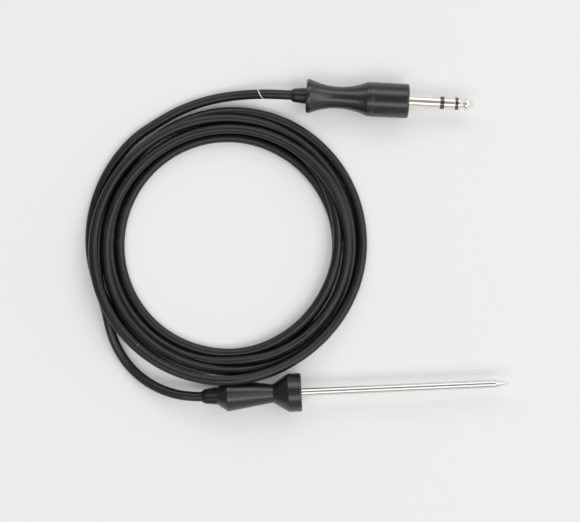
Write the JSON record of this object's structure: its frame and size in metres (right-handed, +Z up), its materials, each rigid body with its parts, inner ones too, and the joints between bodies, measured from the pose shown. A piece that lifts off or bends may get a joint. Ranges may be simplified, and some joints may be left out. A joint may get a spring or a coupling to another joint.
{
  "type": "plug-in needle probe",
  "caption": "Pointed steel needle probe in a waisted moulded handle, on a long round cord laid in a loose coil, ending in a waisted three-contact jack plug.",
  "frame": {"origin": "on the surface the probe lies on, below the middle of the probe (boot, handle and needle, without the cord and its plug)", "axes": "+X along the needle towards its point, +Z up from the surface, +Y from the probe towards the coil and the plug"},
  "size_m": [0.2023, 0.1594, 0.0186],
  "materials": {
    "needle_steel": "fine ground stainless steel",
    "contact_metal": "bright nickel plate",
    "black_plastic": "satin moulded black plastic",
    "insulator": "smooth black insulating plastic",
    "cord_jacket": "satin black cord jacket",
    "boot_rubber": "matt black rubber",
    "lug_brass": "plain brass",
    "solder": "dull solder",
    "core_insulation": "coloured wire insulation",
    "filler": "cast resin",
    "sensor_ceramic": "unglazed ceramic"
  },
  "bodies": {
    "probe_and_cord": {"needle_tube": "needle_steel", "needle_point": "needle_steel", "tip_filler": "filler", "sensor_element": "sensor_ceramic", "sensor_leads": "core_insulation", "tube_anchor": "needle_steel", "handle_potting": "filler", "probe_handle": "black_plastic", "lead_splices": "lug_brass", "splice_sleeves": "black_plastic", "probe_cores": "core_insulation", "probe_cord_crimp": "lug_brass", "probe_boot": "boot_rubber", "cord_probe_lead": "cord_jacket", "cord_coil": "cord_jacket", "cord_plug_lead": "cord_jacket", "plug_collar": "black_plastic", "thread_bush": "contact_metal", "plug_cores": "core_insulation", "solder_joints": "solder", "sleeve_lug": "lug_brass", "ring_lug": "lug_brass", "tip_lug": "lug_brass", "stack_washers": "insulator", "jack_sleeve": "contact_metal", "ring_insulator": "insulator", "jack_ring": "contact_metal", "tip_insulator": "insulator", "jack_tip": "contact_metal"},
    "boot": {"plug_boot": "boot_rubber"},
    "grip": {"plug_grip": "black_plastic"}
  },
  "joints": [
    {"name": "boot_travel", "type": "slide", "parent": "probe_and_cord", "child": "boot", "axis": [-0.9954, 0.0958, 0], "range_m": [0, 0.005]},
    {"name": "grip_turn", "type": "hinge", "parent": "boot", "child": "grip", "pos_m": [-0.0177, 0.142, 0.0083], "axis": [-0.9954, 0.0958, 0], "range_deg": [0, 1800]}
  ],
  "couplings": [
    {"joint": "grip_turn", "follows": "boot_travel", "rad_per_m": 6283.2}
  ]
}
